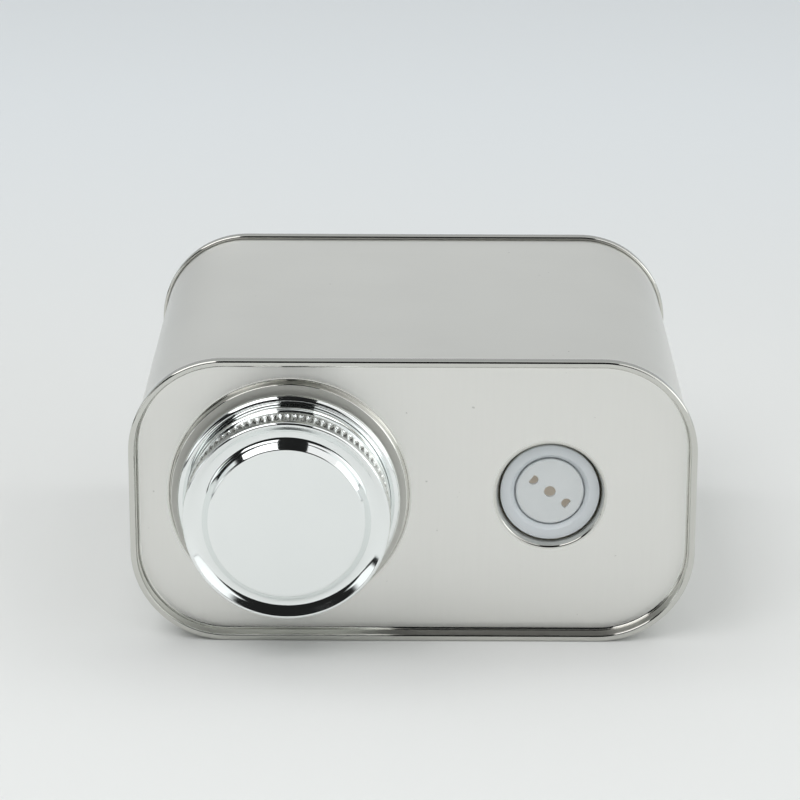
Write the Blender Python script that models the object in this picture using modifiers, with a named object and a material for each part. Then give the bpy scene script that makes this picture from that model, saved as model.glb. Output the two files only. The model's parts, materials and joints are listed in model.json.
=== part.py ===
"""Coffee storage tin with a screw cap and a one-way degassing valve.

The tin lies on its broad side, as it does on a table: +Z is up, the end with the cap and the
valve faces -Y, and the origin is on the table under the middle of the whole length.
Each piece of sheet is a centre line with bend radii, given its thickness on both sides, then
swept round the rounded rectangle of the tin or turned about the axis of the cap or the valve.
"""
import math

import bmesh
import bpy
from mathutils import Matrix, Vector

MM = 0.001

# Tin, measured over its two double seams
TIN_WIDTH = 115.0 * MM
TIN_THICKNESS = 60.0 * MM
TIN_HEIGHT = 100.0 * MM
CORNER_RADIUS = 19.5 * MM
PLATE = 0.23 * MM

# Double seam
LAYER_GAP = 0.05 * MM
SEAM_LENGTH = 2.5 * MM
RIM_BEND = 0.3 * MM
BODY_HOOK = 1.45 * MM
COVER_HOOK = 1.45 * MM
COMPOUND_SPACE = 0.25 * MM
COMPOUND_WIDTH = 0.5 * MM

# End panels
COUNTERSINK = 3.3 * MM
WALL_DRAFT = 0.1 * MM
PANEL_FILLET = 0.6 * MM
PANEL_MARGIN = 2.0 * MM
BEAD_INSET = 6.0 * MM
BEAD_SLOPE = 0.8 * MM
BEAD_RISE = 0.8 * MM

# Line of the two round holes, and the boss that carries the neck
CAP_X = -25.1 * MM
VALVE_X = 28.0 * MM
HOLE_LINE_RISE = 0.65 * MM
BOSS_RADIUS = 24.35 * MM
BOSS_RISE = 2.0 * MM
BOSS_SLOPE = 0.35 * MM

# Screw neck
NECK_SHEET = 0.25 * MM
NECK_RADIUS = 19.35 * MM
NECK_RISE = 10.4 * MM
NECK_CURL = 0.45 * MM
NECK_CURL_TURN = 225
NECK_FOLD_REACH = 0.8 * MM
NECK_FOLD_GAP = 0.06 * MM
NECK_FOOT_BEND = 0.15 * MM
NECK_HEM_REACH = 1.1 * MM
NECK_HOLE_CLEARANCE = 0.1 * MM
NECK_SEAL = 0.12 * MM
NECK_SEAT_GAP = 0.05 * MM

# Screw cap and its liner
CAP_SHEET = 0.25 * MM
THREAD_SPACE = 1.1 * MM
CURL_RADIUS = 0.95 * MM
CURL_CLEARANCE = 1.1 * MM
SHOULDER_BEND = 0.35 * MM
CREST_ABOVE_VALLEY = 1.35 * MM
SHOULDER_REACH = 2.9 * MM
VALLEY_WIDTH = 1.1 * MM
VALLEY_OUTER_BEND = 1.5 * MM
VALLEY_INNER_BEND = 1.3 * MM
PLATEAU_SLOPE = 1.1 * MM
PLATEAU_BEND = 0.4 * MM
PLATEAU_ABOVE_VALLEY = 1.95 * MM
LINER_THICKNESS = 1.4 * MM
LINER_SIDE_GAP = 0.35 * MM
LINER_SEAT_GAP = 0.1 * MM
KNURL_COUNT = 86
KNURL_LENGTH = 3.85 * MM
KNURL_DEPTH = 0.24 * MM
KNURL_CUTTER = 0.5 * MM
KNURL_SIDES = 6
KNURL_BAND_PROUD = 0.08 * MM
KNURL_BAND_MARGIN = 0.25 * MM
KNURL_BELOW_CREST = 2.0 * MM

# Valve pocket in the top end
POCKET_RADIUS = 11.1 * MM
POCKET_DEPTH = 3.0 * MM
POCKET_TAPER = 0.35 * MM
POCKET_BEND = 0.35 * MM
VALVE_HOLE_CLEARANCE = 0.2 * MM

# One-way valve
SEAL_THICKNESS = 0.4 * MM
VALVE_SEAT_GAP = 0.05 * MM
FLANGE_RADIUS = 10.15 * MM
FLANGE_THICKNESS = 0.7 * MM
CUP_RADIUS = 7.7 * MM
CUP_DEPTH = 5.6 * MM
CUP_FLOOR = 0.6 * MM
GROOVE_WIDTH = 0.25 * MM
GROOVE_DEPTH = 1.7 * MM
FLANGE_CHAMFER = 0.5 * MM
BARB_REACH = 0.6 * MM
BARB_LENGTH = 1.2 * MM
VENT_CAP_RADIUS = 6.95 * MM
VENT_CAP_ROUNDING = 0.8 * MM
VENT_CAP_STEP = 0.6 * MM
VENT_CAP_FIT = 0.06 * MM
VENT_CAP_FACE = 0.9 * MM
VENT_CAP_EDGE = 1.5 * MM
VENT_CAP_WALL = 0.7 * MM
VENT_CAP_LENGTH = 2.6 * MM
STOP_RADIUS = 2.4 * MM
STOP_WALL = 0.6 * MM
CENTRE_VENT_RADIUS = 1.2 * MM
SIDE_VENT_RADIUS = 0.95 * MM
SIDE_VENT_CIRCLE = 4.25 * MM
SIDE_VENT_FLAT = 0.45 * MM
SIDE_VENT_ANGLE = 143.5
SEAT_RADIUS = 4.4 * MM
SEAT_WIDTH = 0.5 * MM
SEAT_HEIGHT = 0.35 * MM
INLET_COUNT = 4
INLET_RADIUS = 0.8 * MM
INLET_CIRCLE = 2.4 * MM
MEMBRANE_RADIUS = 5.7 * MM
MEMBRANE_THICKNESS = 0.5 * MM
MEMBRANE_LIFT = 0.4 * MM
MEMBRANE_GAP = 0.05 * MM
FILTER_THICKNESS = 0.4 * MM
FILTER_GAP = 0.1 * MM
FILTER_RIM = 0.8 * MM

# Facets
CORNER_STEPS = 5
CAP_FACETS = 43
NECK_FACETS = 28
NECK_CURL_STEPS = 4
VALVE_FACETS = 28
HOLE_FACETS = 12

# Places that follow from the sizes above: heights are measured outwards from the top rim plane
LAYER_PITCH = PLATE + LAYER_GAP
SEAM_THICKNESS = 5 * PLATE + 4 * LAYER_GAP
PANEL_TOP = -COUNTERSINK
BOSS_TOP = PANEL_TOP + BOSS_RISE
LINER_BOTTOM = NECK_RISE + LINER_SEAT_GAP
VALLEY_TOP = LINER_BOTTOM + LINER_THICKNESS + LINER_SEAT_GAP + CAP_SHEET
CREST_TOP = VALLEY_TOP + CREST_ABOVE_VALLEY
CAP_TOP = VALLEY_TOP + max(PLATEAU_ABOVE_VALLEY, CREST_ABOVE_VALLEY)
RIM_Y = CAP_TOP - (TIN_HEIGHT + CAP_TOP) / 2
AXIS_Z = TIN_THICKNESS / 2 + HOLE_LINE_RISE
FILTER_RECESS = FILTER_THICKNESS + FILTER_GAP
MERGE = 1e-6
STRAIGHT = 1e-6
MITRE_LIMIT = 0.3
CUT_MARGIN = 0.2 * MM
FACING_OUT = Matrix.Rotation(math.pi / 2, 4, 'X')
FACING_BACK = Matrix.Rotation(-math.pi / 2, 4, 'X')


def clear_scene():
    for old in list(bpy.data.objects):
        bpy.data.objects.remove(old, do_unlink=True)


def new_collection(name):
    collection = bpy.data.collections.new(name)
    bpy.context.scene.collection.children.link(collection)
    return collection


def finish(name, colour, roughness, metallic):
    material = bpy.data.materials.new(name)
    material.use_nodes = True
    shader = material.node_tree.nodes["Principled BSDF"]
    shader.inputs["Base Color"].default_value = (*colour, 1.0)
    shader.inputs["Roughness"].default_value = roughness
    shader.inputs["Metallic"].default_value = metallic
    return material


def add_object(name, mesh, collection, material=None, matrix=None):
    piece = bpy.data.objects.new(name, mesh)
    collection.objects.link(piece)
    if material:
        mesh.materials.append(material)
    if matrix:
        piece.matrix_world = matrix
    return piece


def bent_line(corners, steps=2):
    """Centre line through (r, h, bend radius) corners, with so many steps to a quarter turn of bend."""
    points = [Vector(corners[0][:2])]
    for before, corner, after in zip(corners, corners[1:], corners[2:]):
        here = Vector(corner[:2])
        into = (here - Vector(before[:2])).normalized()
        out = (Vector(after[:2]) - here).normalized()
        turn = into.angle_signed(out)
        radius = corner[2]
        if radius == 0 or abs(turn) < STRAIGHT:
            points.append(here)
            continue
        start = here - into * radius * math.tan(abs(turn) / 2)
        side = Vector((-into.y, into.x)) * (-1 if turn > 0 else 1)
        centre = start + side * radius
        count = max(1, round(abs(turn) / (math.pi / 2) * steps))
        for k in range(count + 1):
            swing = Matrix.Rotation(-turn * k / count, 2)
            points.append(centre + swing @ (start - centre))
    points.append(Vector(corners[-1][:2]))
    return [p for k, p in enumerate(points) if k == 0 or (p - points[k - 1]).length > MERGE]


def both_sides(line, thickness):
    """The two faces of a sheet, half its thickness to the left and to the right of its centre line."""
    left, right = [], []
    for k, point in enumerate(line):
        into = (point - line[k - 1]).normalized() if k else None
        out = (line[k + 1] - point).normalized() if k + 1 < len(line) else None
        into, out = into or out, out or into
        mean = (into + out).normalized()
        reach = thickness / 2 / max(MITRE_LIMIT, mean.dot(into))
        normal = Vector((-mean.y, mean.x)) * reach
        left.append(point + normal)
        right.append(point - normal)
    return left, right


def sheet_outline(corners, thickness, steps=2):
    left, right = both_sides(bent_line(corners, steps), thickness)
    return left + right[::-1]


def newest(geometry):
    """The copied verts and the edges that join them, out of what an extrusion or a spin returns."""
    verts = [item for item in geometry if isinstance(item, bmesh.types.BMVert)]
    made = set(verts)
    edges = [item for item in geometry
             if isinstance(item, bmesh.types.BMEdge) and made.issuperset(item.verts)]
    return verts, edges


def draw_profile(bm, points, closed):
    verts = [bm.verts.new(point) for point in points]
    pairs = list(zip(verts, verts[1:] + verts[:1]))
    edges = [bm.edges.new(pair) for pair in (pairs if closed else pairs[:-1])]
    return verts, edges


def sweep_round_tin(bm, profile, closed):
    """Carry a (distance in from the seam, height) profile round the rounded rectangle of the tin."""
    across = TIN_WIDTH / 2 - CORNER_RADIUS
    along = TIN_THICKNESS / 2 - CORNER_RADIUS
    points = [(TIN_WIDTH / 2 - inward, -along, height) for inward, height in profile]
    verts, edges = draw_profile(bm, points, closed)
    corners = [(across, along), (-across, along), (-across, -along), (across, -along)]
    for before, corner in zip(corners[-1:] + corners, corners):
        run = Vector((corner[0] - before[0], corner[1] - before[1], 0.0))
        verts, edges = newest(bmesh.ops.extrude_edge_only(bm, edges=edges)["geom"])
        bmesh.ops.translate(bm, vec=run, verts=verts)
        turn = bmesh.ops.spin(bm, geom=verts + edges, cent=(*corner, 0.0), axis=(0, 0, 1),
                              angle=math.pi / 2, steps=CORNER_STEPS)
        verts, edges = newest(turn["geom_last"])
    bmesh.ops.remove_doubles(bm, verts=bm.verts, dist=MERGE)


def mesh_from(bm, name):
    bmesh.ops.recalc_face_normals(bm, faces=bm.faces)
    mesh = bpy.data.meshes.new(name)
    bm.to_mesh(mesh)
    bm.free()
    mesh.shade_smooth()
    mesh.set_sharp_from_angle(angle=math.radians(35))
    return mesh


def turned(name, profile, facets, closed, collection, material, place):
    """A piece turned about its own axis, with a (radius, height) profile and a Screw modifier."""
    bm = bmesh.new()
    draw_profile(bm, [(r, 0.0, h) for r, h in profile], closed)
    mesh = bpy.data.meshes.new(name)
    bm.to_mesh(mesh)
    bm.free()
    piece = add_object(name, mesh, collection, material, place)
    screw = piece.modifiers.new("Turn", 'SCREW')
    screw.axis = 'Z'
    screw.steps = facets
    screw.render_steps = facets
    screw.use_merge_vertices = True
    screw.merge_threshold = MERGE
    screw.use_smooth_shade = True
    return piece


def rod_cutter(bm, radius, low, high, reach, angle, sides):
    """A rod along the axis, its middle out at reach and its first side's corner pointing outwards."""
    place = Matrix.Rotation(angle, 4, 'Z') @ Matrix.Translation((reach, 0.0, (low + high) / 2))
    made = bmesh.ops.create_cone(bm, cap_ends=True, segments=sides, radius1=radius, radius2=radius,
                                 depth=high - low, matrix=place)
    return made["verts"]


def cut(piece, bm, name, collection):
    """Take the cutter in bm, drawn in the piece's own frame, away from the piece."""
    cutter = add_object(name, mesh_from(bm, name), collection, matrix=piece.matrix_world.copy())
    cutter.hide_render = True
    cutter.display_type = 'WIRE'
    boolean = piece.modifiers.new("Cut " + name, 'BOOLEAN')
    boolean.operation = 'DIFFERENCE'
    boolean.solver = 'EXACT'
    boolean.object = cutter


def seam_layers():
    """Centre lines of the five layers of sheet in a double seam, from its outside inwards."""
    return [PLATE / 2 + k * LAYER_PITCH for k in range(5)]


def end_line(field):
    """Centre line of an end: its field, the countersink wall, over the rim and under the body hook."""
    outer, _, hook, _, chuck = seam_layers()
    top = -PLATE / 2
    turn = LAYER_PITCH
    low = -SEAM_LENGTH + PLATE / 2
    panel = PANEL_TOP - PLATE / 2
    return field + [
        (chuck + WALL_DRAFT, panel, PANEL_FILLET),
        (chuck, top, RIM_BEND),
        (outer, top, RIM_BEND),
        (outer, low, turn),
        (hook, low, turn),
        (hook, low + COVER_HOOK, 0),
    ]


def stamp_round(bm, centre, line, facets):
    """A round stamping: both faces of the sheet, turned from the flat panel to the edge of its hole."""
    upper, lower = both_sides(line, PLATE)
    points = [(centre[0] + r, centre[1], height) for r, height in upper + lower[::-1]]
    verts, edges = draw_profile(bm, points, False)
    bmesh.ops.spin(bm, geom=verts + edges, cent=(*centre, 0.0), axis=(0, 0, 1),
                   angle=2 * math.pi, steps=facets, use_merge=True)
    bmesh.ops.remove_doubles(bm, verts=bm.verts, dist=MERGE)


def fill_level(bm, height):
    """Close one face of a flat field between all the open edges that lie at its height."""
    edges = [edge for edge in bm.edges
             if edge.is_boundary and all(abs(vert.co.z - height) < MERGE for vert in edge.verts)]
    bmesh.ops.triangle_fill(bm, use_beauty=True, use_dissolve=False, edges=edges)


def body_wall(parts, material, place):
    """Body sheet: the wall between the ends, with its hook folded outwards inside each seam."""
    _, outer_hook, _, wall, _ = seam_layers()
    top = -PLATE - COMPOUND_SPACE - PLATE / 2
    hook_end = -SEAM_LENGTH + PLATE + LAYER_GAP + LAYER_PITCH - PLATE / 2
    hook_end = max(hook_end, top - BODY_HOOK)
    bottom = -TIN_HEIGHT - top
    line = [
        (outer_hook, hook_end, 0),
        (outer_hook, top, LAYER_PITCH),
        (wall, top, LAYER_PITCH),
        (wall, bottom, LAYER_PITCH),
        (outer_hook, bottom, LAYER_PITCH),
        (outer_hook, -TIN_HEIGHT - hook_end, 0),
    ]
    bm = bmesh.new()
    sweep_round_tin(bm, sheet_outline(line, PLATE), True)
    add_object("body_wall", mesh_from(bm, "body_wall"), parts, material, place)


def seam_compound(name, parts, material, place):
    """Sealing compound between the rim of an end and the top of the body hook."""
    _, outer_hook, _, wall, _ = seam_layers()
    middle = (outer_hook + wall) / 2
    high = -PLATE - LAYER_GAP
    low = -PLATE - COMPOUND_SPACE + LAYER_GAP
    profile = [
        (middle - COMPOUND_WIDTH / 2, high),
        (middle + COMPOUND_WIDTH / 2, high),
        (middle + COMPOUND_WIDTH / 2, low),
        (middle - COMPOUND_WIDTH / 2, low),
    ]
    bm = bmesh.new()
    sweep_round_tin(bm, profile, True)
    add_object(name, mesh_from(bm, name), parts, material, place)


def top_end(parts, material, place):
    """Top end: seamed rim, flat panel, the boss round the neck hole and the pocket for the valve."""
    panel = PANEL_TOP - PLATE / 2
    margin = SEAM_THICKNESS + PANEL_MARGIN
    bm = bmesh.new()
    sweep_round_tin(bm, sheet_outline(end_line([(margin, panel, 0)]), PLATE), False)
    boss = bent_line([
        (BOSS_RADIUS + BOSS_SLOPE, panel, 0),
        (BOSS_RADIUS, panel, 0),
        (BOSS_RADIUS - BOSS_SLOPE, panel + BOSS_RISE, 0),
        (neck_hole_radius(), panel + BOSS_RISE, 0),
    ])
    floor = panel - POCKET_DEPTH
    pocket = bent_line([
        (POCKET_RADIUS + 2 * POCKET_BEND, panel, 0),
        (POCKET_RADIUS, panel, POCKET_BEND),
        (POCKET_RADIUS - POCKET_TAPER, floor, POCKET_BEND),
        (CUP_RADIUS + VALVE_HOLE_CLEARANCE, floor, 0),
    ], 1)
    stamp_round(bm, (CAP_X, HOLE_LINE_RISE), boss, NECK_FACETS)
    stamp_round(bm, (VALVE_X, HOLE_LINE_RISE), pocket, VALVE_FACETS)
    fill_level(bm, panel + PLATE / 2)
    fill_level(bm, panel - PLATE / 2)
    add_object("top_end", mesh_from(bm, "top_end"), parts, material, place)


def bottom_end(parts, material, place):
    """Bottom end: seamed rim and a panel with one stepped bead that stiffens it."""
    panel = PANEL_TOP - PLATE / 2
    bead = SEAM_THICKNESS + BEAD_INSET
    field = [
        (bead + BEAD_SLOPE + PANEL_MARGIN, panel + BEAD_RISE, 0),
        (bead + BEAD_SLOPE, panel + BEAD_RISE, 0),
        (bead, panel, 0),
    ]
    bm = bmesh.new()
    sweep_round_tin(bm, sheet_outline(end_line(field), PLATE), False)
    fill_level(bm, panel + BEAD_RISE + PLATE / 2)
    fill_level(bm, panel + BEAD_RISE - PLATE / 2)
    add_object("bottom_end", mesh_from(bm, "bottom_end"), parts, material, place)


def neck_hole_radius():
    return NECK_RADIUS - NECK_HOLE_CLEARANCE


def neck_fold_levels():
    """Heights of the two layers of the fold that rests on the boss, lower one first."""
    low = BOSS_TOP + 2 * NECK_SEAT_GAP + NECK_SEAL + NECK_SHEET / 2
    return low, low + NECK_SHEET + NECK_FOLD_GAP


def screw_neck(parts, material, place):
    """Neck: inward curl, plain wall, outward fold on the boss and a hem turned out under the panel."""
    wall = NECK_RADIUS - NECK_SHEET / 2
    spigot = neck_hole_radius() - NECK_HOLE_CLEARANCE - NECK_SHEET / 2
    low, high = neck_fold_levels()
    reach = wall + NECK_FOLD_REACH
    fold_bend = (high - low) / 2
    hem = BOSS_TOP - PLATE - NECK_SEAT_GAP - NECK_SHEET / 2
    curl_y = NECK_RISE - NECK_SHEET / 2 - NECK_CURL
    line = []
    for k in range(NECK_CURL_STEPS + 1):
        angle = math.radians(NECK_CURL_TURN * (1 - k / NECK_CURL_STEPS))
        line.append((wall - NECK_CURL + NECK_CURL * math.cos(angle), curl_y + NECK_CURL * math.sin(angle), 0))
    line += [
        (wall, high, NECK_FOOT_BEND),
        (reach, high, fold_bend),
        (reach, low, fold_bend),
        (spigot, low, NECK_FOOT_BEND),
        (spigot, hem, NECK_FOOT_BEND),
        (spigot + NECK_HEM_REACH, hem, 0),
    ]
    outline = sheet_outline(line, NECK_SHEET, 1)
    turned("screw_neck", outline, NECK_FACETS, True, parts, material, place)


def neck_seal(parts, material, place):
    """Sealing ring between the fold of the neck and the boss."""
    low = BOSS_TOP + NECK_SEAT_GAP
    inner = neck_hole_radius() + NECK_HOLE_CLEARANCE
    outer = NECK_RADIUS + NECK_FOLD_REACH - NECK_SHEET / 2
    ring = [(inner, low + NECK_SEAL), (outer, low + NECK_SEAL), (outer, low), (inner, low)]
    turned("neck_seal", ring, NECK_FACETS, True, parts, material, place)


def cap_shell(parts, cutters, material, place):
    """Cap: raised plateau, valley over the liner, knurled skirt and a hem curled outwards."""
    half = CAP_SHEET / 2
    skirt = NECK_RADIUS + THREAD_SPACE + half
    curl_h = BOSS_TOP + CURL_CLEARANCE + half + CURL_RADIUS
    band_top = CREST_TOP - KNURL_BELOW_CREST
    band_bottom = band_top - KNURL_LENGTH
    valley_outer = skirt - SHOULDER_REACH
    valley_inner = valley_outer - VALLEY_WIDTH
    plateau = valley_inner - PLATEAU_SLOPE
    line = bent_line([
        (0.0, CAP_TOP - half, 0),
        (plateau, CAP_TOP - half, PLATEAU_BEND),
        (valley_inner, VALLEY_TOP - half, VALLEY_INNER_BEND),
        (valley_outer, VALLEY_TOP - half, VALLEY_OUTER_BEND),
        (skirt, CREST_TOP - half, SHOULDER_BEND),
        (skirt, band_top + KNURL_BAND_MARGIN, 0),
    ])
    split = len(line)
    line += bent_line([
        (skirt, band_bottom - KNURL_BAND_MARGIN, 0),
        (skirt, curl_h - CURL_RADIUS, CURL_RADIUS),
        (skirt + 2 * CURL_RADIUS, curl_h - CURL_RADIUS, CURL_RADIUS),
        (skirt + 2 * CURL_RADIUS, curl_h + CURL_RADIUS, CURL_RADIUS),
        (skirt + CURL_RADIUS, curl_h + CURL_RADIUS, 0),
    ])
    outer, inner = both_sides(line, CAP_SHEET)
    proud = Vector((KNURL_BAND_PROUD, 0.0))
    edge = Vector((0.0, KNURL_BAND_PROUD))
    outer[split:split] = [outer[split - 1] + proud - edge, outer[split] + proud + edge]
    inner[split:split] = [inner[split - 1] - proud - edge, inner[split] - proud + edge]
    shell = turned("cap_shell", outer + inner[::-1], CAP_FACETS, False, parts, material, place)
    bm = bmesh.new()
    middle = skirt + half + KNURL_BAND_PROUD + KNURL_CUTTER - KNURL_DEPTH
    for k in range(KNURL_COUNT):
        angle = 2 * math.pi * (k + 0.5) / KNURL_COUNT
        rod_cutter(bm, KNURL_CUTTER, band_bottom, band_top, middle, angle, KNURL_SIDES)
    cut(shell, bm, "knurl_cutter", cutters)


def cap_liner(parts, material, place):
    """Liner: a foam disc under the valley of the cap, which seals on the curl of the neck."""
    radius = NECK_RADIUS + THREAD_SPACE - LINER_SIDE_GAP
    top = LINER_BOTTOM + LINER_THICKNESS
    disc = [(0.0, top), (radius, top), (radius, LINER_BOTTOM), (0.0, LINER_BOTTOM)]
    turned("cap_liner", disc, NECK_FACETS, False, parts, material, place)


def valve_levels():
    """Heights of the valve's main faces, from the pocket floor outwards and inwards."""
    floor_top = PANEL_TOP - POCKET_DEPTH
    flange_low = floor_top + 2 * VALVE_SEAT_GAP + SEAL_THICKNESS
    flange_top = flange_low + FLANGE_THICKNESS
    cup_low = flange_top - CUP_DEPTH
    seat_top = cup_low + FILTER_RECESS + CUP_FLOOR + SEAT_HEIGHT
    return floor_top, flange_low, flange_top, cup_low, seat_top


def valve_body(parts, cutters, material, place):
    """Valve body: flange in the pocket, cup with a vent-cap bore and a membrane seat, snap barb."""
    floor_top, flange_low, flange_top, cup_low, seat_top = valve_levels()
    bore = VENT_CAP_RADIUS - VENT_CAP_STEP + VENT_CAP_FIT
    recess = VENT_CAP_RADIUS + GROOVE_WIDTH
    ledge = flange_top - GROOVE_DEPTH
    inner_floor = seat_top - SEAT_HEIGHT
    barb_top = floor_top - PLATE - VALVE_SEAT_GAP
    ceiling = cup_low + FILTER_RECESS
    profile = [
        (0.0, inner_floor),
        (SEAT_RADIUS - SEAT_WIDTH, inner_floor),
        (SEAT_RADIUS - SEAT_WIDTH, seat_top),
        (SEAT_RADIUS, seat_top),
        (SEAT_RADIUS, inner_floor),
        (bore, inner_floor),
        (bore, ledge),
        (recess, ledge),
        (recess, flange_top - FLANGE_CHAMFER),
        (recess + FLANGE_CHAMFER, flange_top),
        (FLANGE_RADIUS, flange_top),
        (FLANGE_RADIUS, flange_low),
        (CUP_RADIUS, flange_low),
        (CUP_RADIUS, barb_top),
        (CUP_RADIUS + BARB_REACH, barb_top),
        (CUP_RADIUS, barb_top - BARB_LENGTH),
        (CUP_RADIUS, cup_low),
        (CUP_RADIUS - FILTER_RIM, cup_low),
        (CUP_RADIUS - FILTER_RIM, ceiling),
        (0.0, ceiling),
    ]
    body = turned("valve_body", profile, VALVE_FACETS, False, parts, material, place)
    bm = bmesh.new()
    for k in range(INLET_COUNT):
        angle = 2 * math.pi * (k + 0.5) / INLET_COUNT
        rod_cutter(bm, INLET_RADIUS, ceiling - CUT_MARGIN, inner_floor + CUT_MARGIN,
                   INLET_CIRCLE, angle, HOLE_FACETS)
    cut(body, bm, "inlet_cutter", cutters)


def valve_cap(parts, cutters, material, place):
    """Vent cap: a pillowed disc with a round and two D-shaped vents, a plug-in skirt and a stop ring."""
    _, _, face, _, seat_top = valve_levels()
    under = face - VENT_CAP_FACE
    edge_low = face - VENT_CAP_EDGE
    skirt = VENT_CAP_RADIUS - VENT_CAP_STEP
    stop = seat_top + MEMBRANE_GAP + MEMBRANE_THICKNESS + MEMBRANE_LIFT
    skirt_low = max(face - VENT_CAP_LENGTH, stop)
    rounding = bent_line([
        (0.0, face, 0),
        (VENT_CAP_RADIUS, face, VENT_CAP_ROUNDING),
        (VENT_CAP_RADIUS, edge_low, 0),
    ])
    profile = [tuple(point) for point in rounding] + [
        (skirt, edge_low),
        (skirt, skirt_low),
        (skirt - VENT_CAP_WALL, skirt_low),
        (skirt - VENT_CAP_WALL, under),
        (STOP_RADIUS, under),
        (STOP_RADIUS, stop),
        (STOP_RADIUS - STOP_WALL, stop),
        (STOP_RADIUS - STOP_WALL, under),
        (0.0, under),
    ]
    cap = turned("valve_cap", profile, VALVE_FACETS, False, parts, material, place)
    bm = bmesh.new()
    low, high = under - CUT_MARGIN, face + CUT_MARGIN
    rod_cutter(bm, CENTRE_VENT_RADIUS, low, high, 0.0, 0.0, HOLE_FACETS)
    for angle in (math.radians(SIDE_VENT_ANGLE), math.radians(SIDE_VENT_ANGLE + 180)):
        out = Vector((math.cos(angle), math.sin(angle), 0.0))
        verts = rod_cutter(bm, SIDE_VENT_RADIUS, low, high, SIDE_VENT_CIRCLE, angle, HOLE_FACETS)
        flat_at = out * (SIDE_VENT_CIRCLE + SIDE_VENT_FLAT)
        faces = {face for vert in verts for face in vert.link_faces}
        edges = {edge for vert in verts for edge in vert.link_edges}
        split = bmesh.ops.bisect_plane(bm, geom=verts + list(edges) + list(faces), plane_co=flat_at,
                                       plane_no=out, clear_outer=True)
        rim = [item for item in split["geom_cut"] if isinstance(item, bmesh.types.BMEdge)]
        bmesh.ops.contextual_create(bm, geom=rim)
    cut(cap, bm, "vent_cutter", cutters)


def valve_discs(parts, rubber, paper, place):
    """The loose membrane on its seat, the filter under the cup and the seal under the flange."""
    floor_top, _, _, cup_low, seat_top = valve_levels()
    low = seat_top + MEMBRANE_GAP
    top = low + MEMBRANE_THICKNESS
    disc = [(0.0, top), (MEMBRANE_RADIUS, top), (MEMBRANE_RADIUS, low), (0.0, low)]
    turned("valve_membrane", disc, VALVE_FACETS, False, parts, rubber, place)
    radius = CUP_RADIUS - FILTER_RIM - FILTER_GAP
    top = cup_low + FILTER_THICKNESS
    disc = [(0.0, top), (radius, top), (radius, cup_low), (0.0, cup_low)]
    turned("valve_filter", disc, VALVE_FACETS, False, parts, paper, place)
    low = floor_top + VALVE_SEAT_GAP
    top = low + SEAL_THICKNESS
    inner = CUP_RADIUS + VALVE_HOLE_CLEARANCE
    ring = [(inner, top), (FLANGE_RADIUS, top), (FLANGE_RADIUS, low), (inner, low)]
    turned("valve_seal_ring", ring, VALVE_FACETS, True, parts, rubber, place)


def build():
    clear_scene()
    parts = new_collection("coffee_tin")
    cutters = new_collection("cutters")
    tinplate = finish("tinplate_satin", (0.58, 0.58, 0.55), 0.34, 1.0)
    bright = finish("tinplate_bright", (0.80, 0.82, 0.82), 0.10, 1.0)
    plastic = finish("valve_plastic", (0.66, 0.70, 0.73), 0.35, 0.0)
    rubber = finish("rubber", (0.42, 0.33, 0.22), 0.60, 0.0)
    foam = finish("liner_foam", (0.85, 0.85, 0.83), 0.80, 0.0)
    paper = finish("filter_paper", (0.80, 0.78, 0.72), 0.90, 0.0)
    compound = finish("sealing_compound", (0.55, 0.50, 0.42), 0.70, 0.0)

    middle = TIN_THICKNESS / 2
    top = Matrix.Translation((0.0, RIM_Y, middle)) @ FACING_OUT
    bottom = Matrix.Translation((0.0, RIM_Y + TIN_HEIGHT, middle)) @ FACING_BACK
    cap_axis = Matrix.Translation((CAP_X, RIM_Y, AXIS_Z)) @ FACING_OUT
    valve_axis = Matrix.Translation((VALVE_X, RIM_Y, AXIS_Z)) @ FACING_OUT

    body_wall(parts, tinplate, top)
    top_end(parts, tinplate, top)
    bottom_end(parts, tinplate, bottom)
    seam_compound("top_seam_compound", parts, compound, top)
    seam_compound("bottom_seam_compound", parts, compound, bottom)
    screw_neck(parts, bright, cap_axis)
    neck_seal(parts, compound, cap_axis)
    cap_shell(parts, cutters, bright, cap_axis)
    cap_liner(parts, foam, cap_axis)
    valve_body(parts, cutters, plastic, valve_axis)
    valve_cap(parts, cutters, plastic, valve_axis)
    valve_discs(parts, rubber, paper, valve_axis)


build()
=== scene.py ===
import json
import math

import bmesh
import bpy
from mathutils import Euler, Matrix, Vector


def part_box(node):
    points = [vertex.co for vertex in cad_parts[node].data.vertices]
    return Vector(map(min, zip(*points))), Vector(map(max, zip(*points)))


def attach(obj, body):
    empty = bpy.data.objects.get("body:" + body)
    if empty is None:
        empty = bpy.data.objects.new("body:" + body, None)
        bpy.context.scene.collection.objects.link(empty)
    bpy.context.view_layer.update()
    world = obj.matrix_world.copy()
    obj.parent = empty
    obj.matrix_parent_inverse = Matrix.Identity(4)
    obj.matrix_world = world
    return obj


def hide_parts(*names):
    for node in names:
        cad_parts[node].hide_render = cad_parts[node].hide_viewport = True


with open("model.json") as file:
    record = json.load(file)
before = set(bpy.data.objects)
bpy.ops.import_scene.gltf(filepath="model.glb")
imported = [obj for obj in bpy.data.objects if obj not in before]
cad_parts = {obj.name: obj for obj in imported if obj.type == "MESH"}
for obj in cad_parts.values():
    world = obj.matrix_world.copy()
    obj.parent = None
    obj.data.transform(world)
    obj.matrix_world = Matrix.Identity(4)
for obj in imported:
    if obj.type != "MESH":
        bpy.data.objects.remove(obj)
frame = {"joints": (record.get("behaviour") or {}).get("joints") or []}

MM = 0.001
scene = bpy.context.scene
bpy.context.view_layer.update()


# Camera
# A long lens a good half metre away looks down on the end with the cap and the valve. Its place
# and its angles come from a fit to the corners, the seams and the round rims in the photograph.
CAMERA_AIM = Vector((-2.623, -42.9, 51.96)) * MM
CAMERA_DISTANCE = 657.277 * MM
CAMERA_PITCH = math.radians(17.713)
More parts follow.
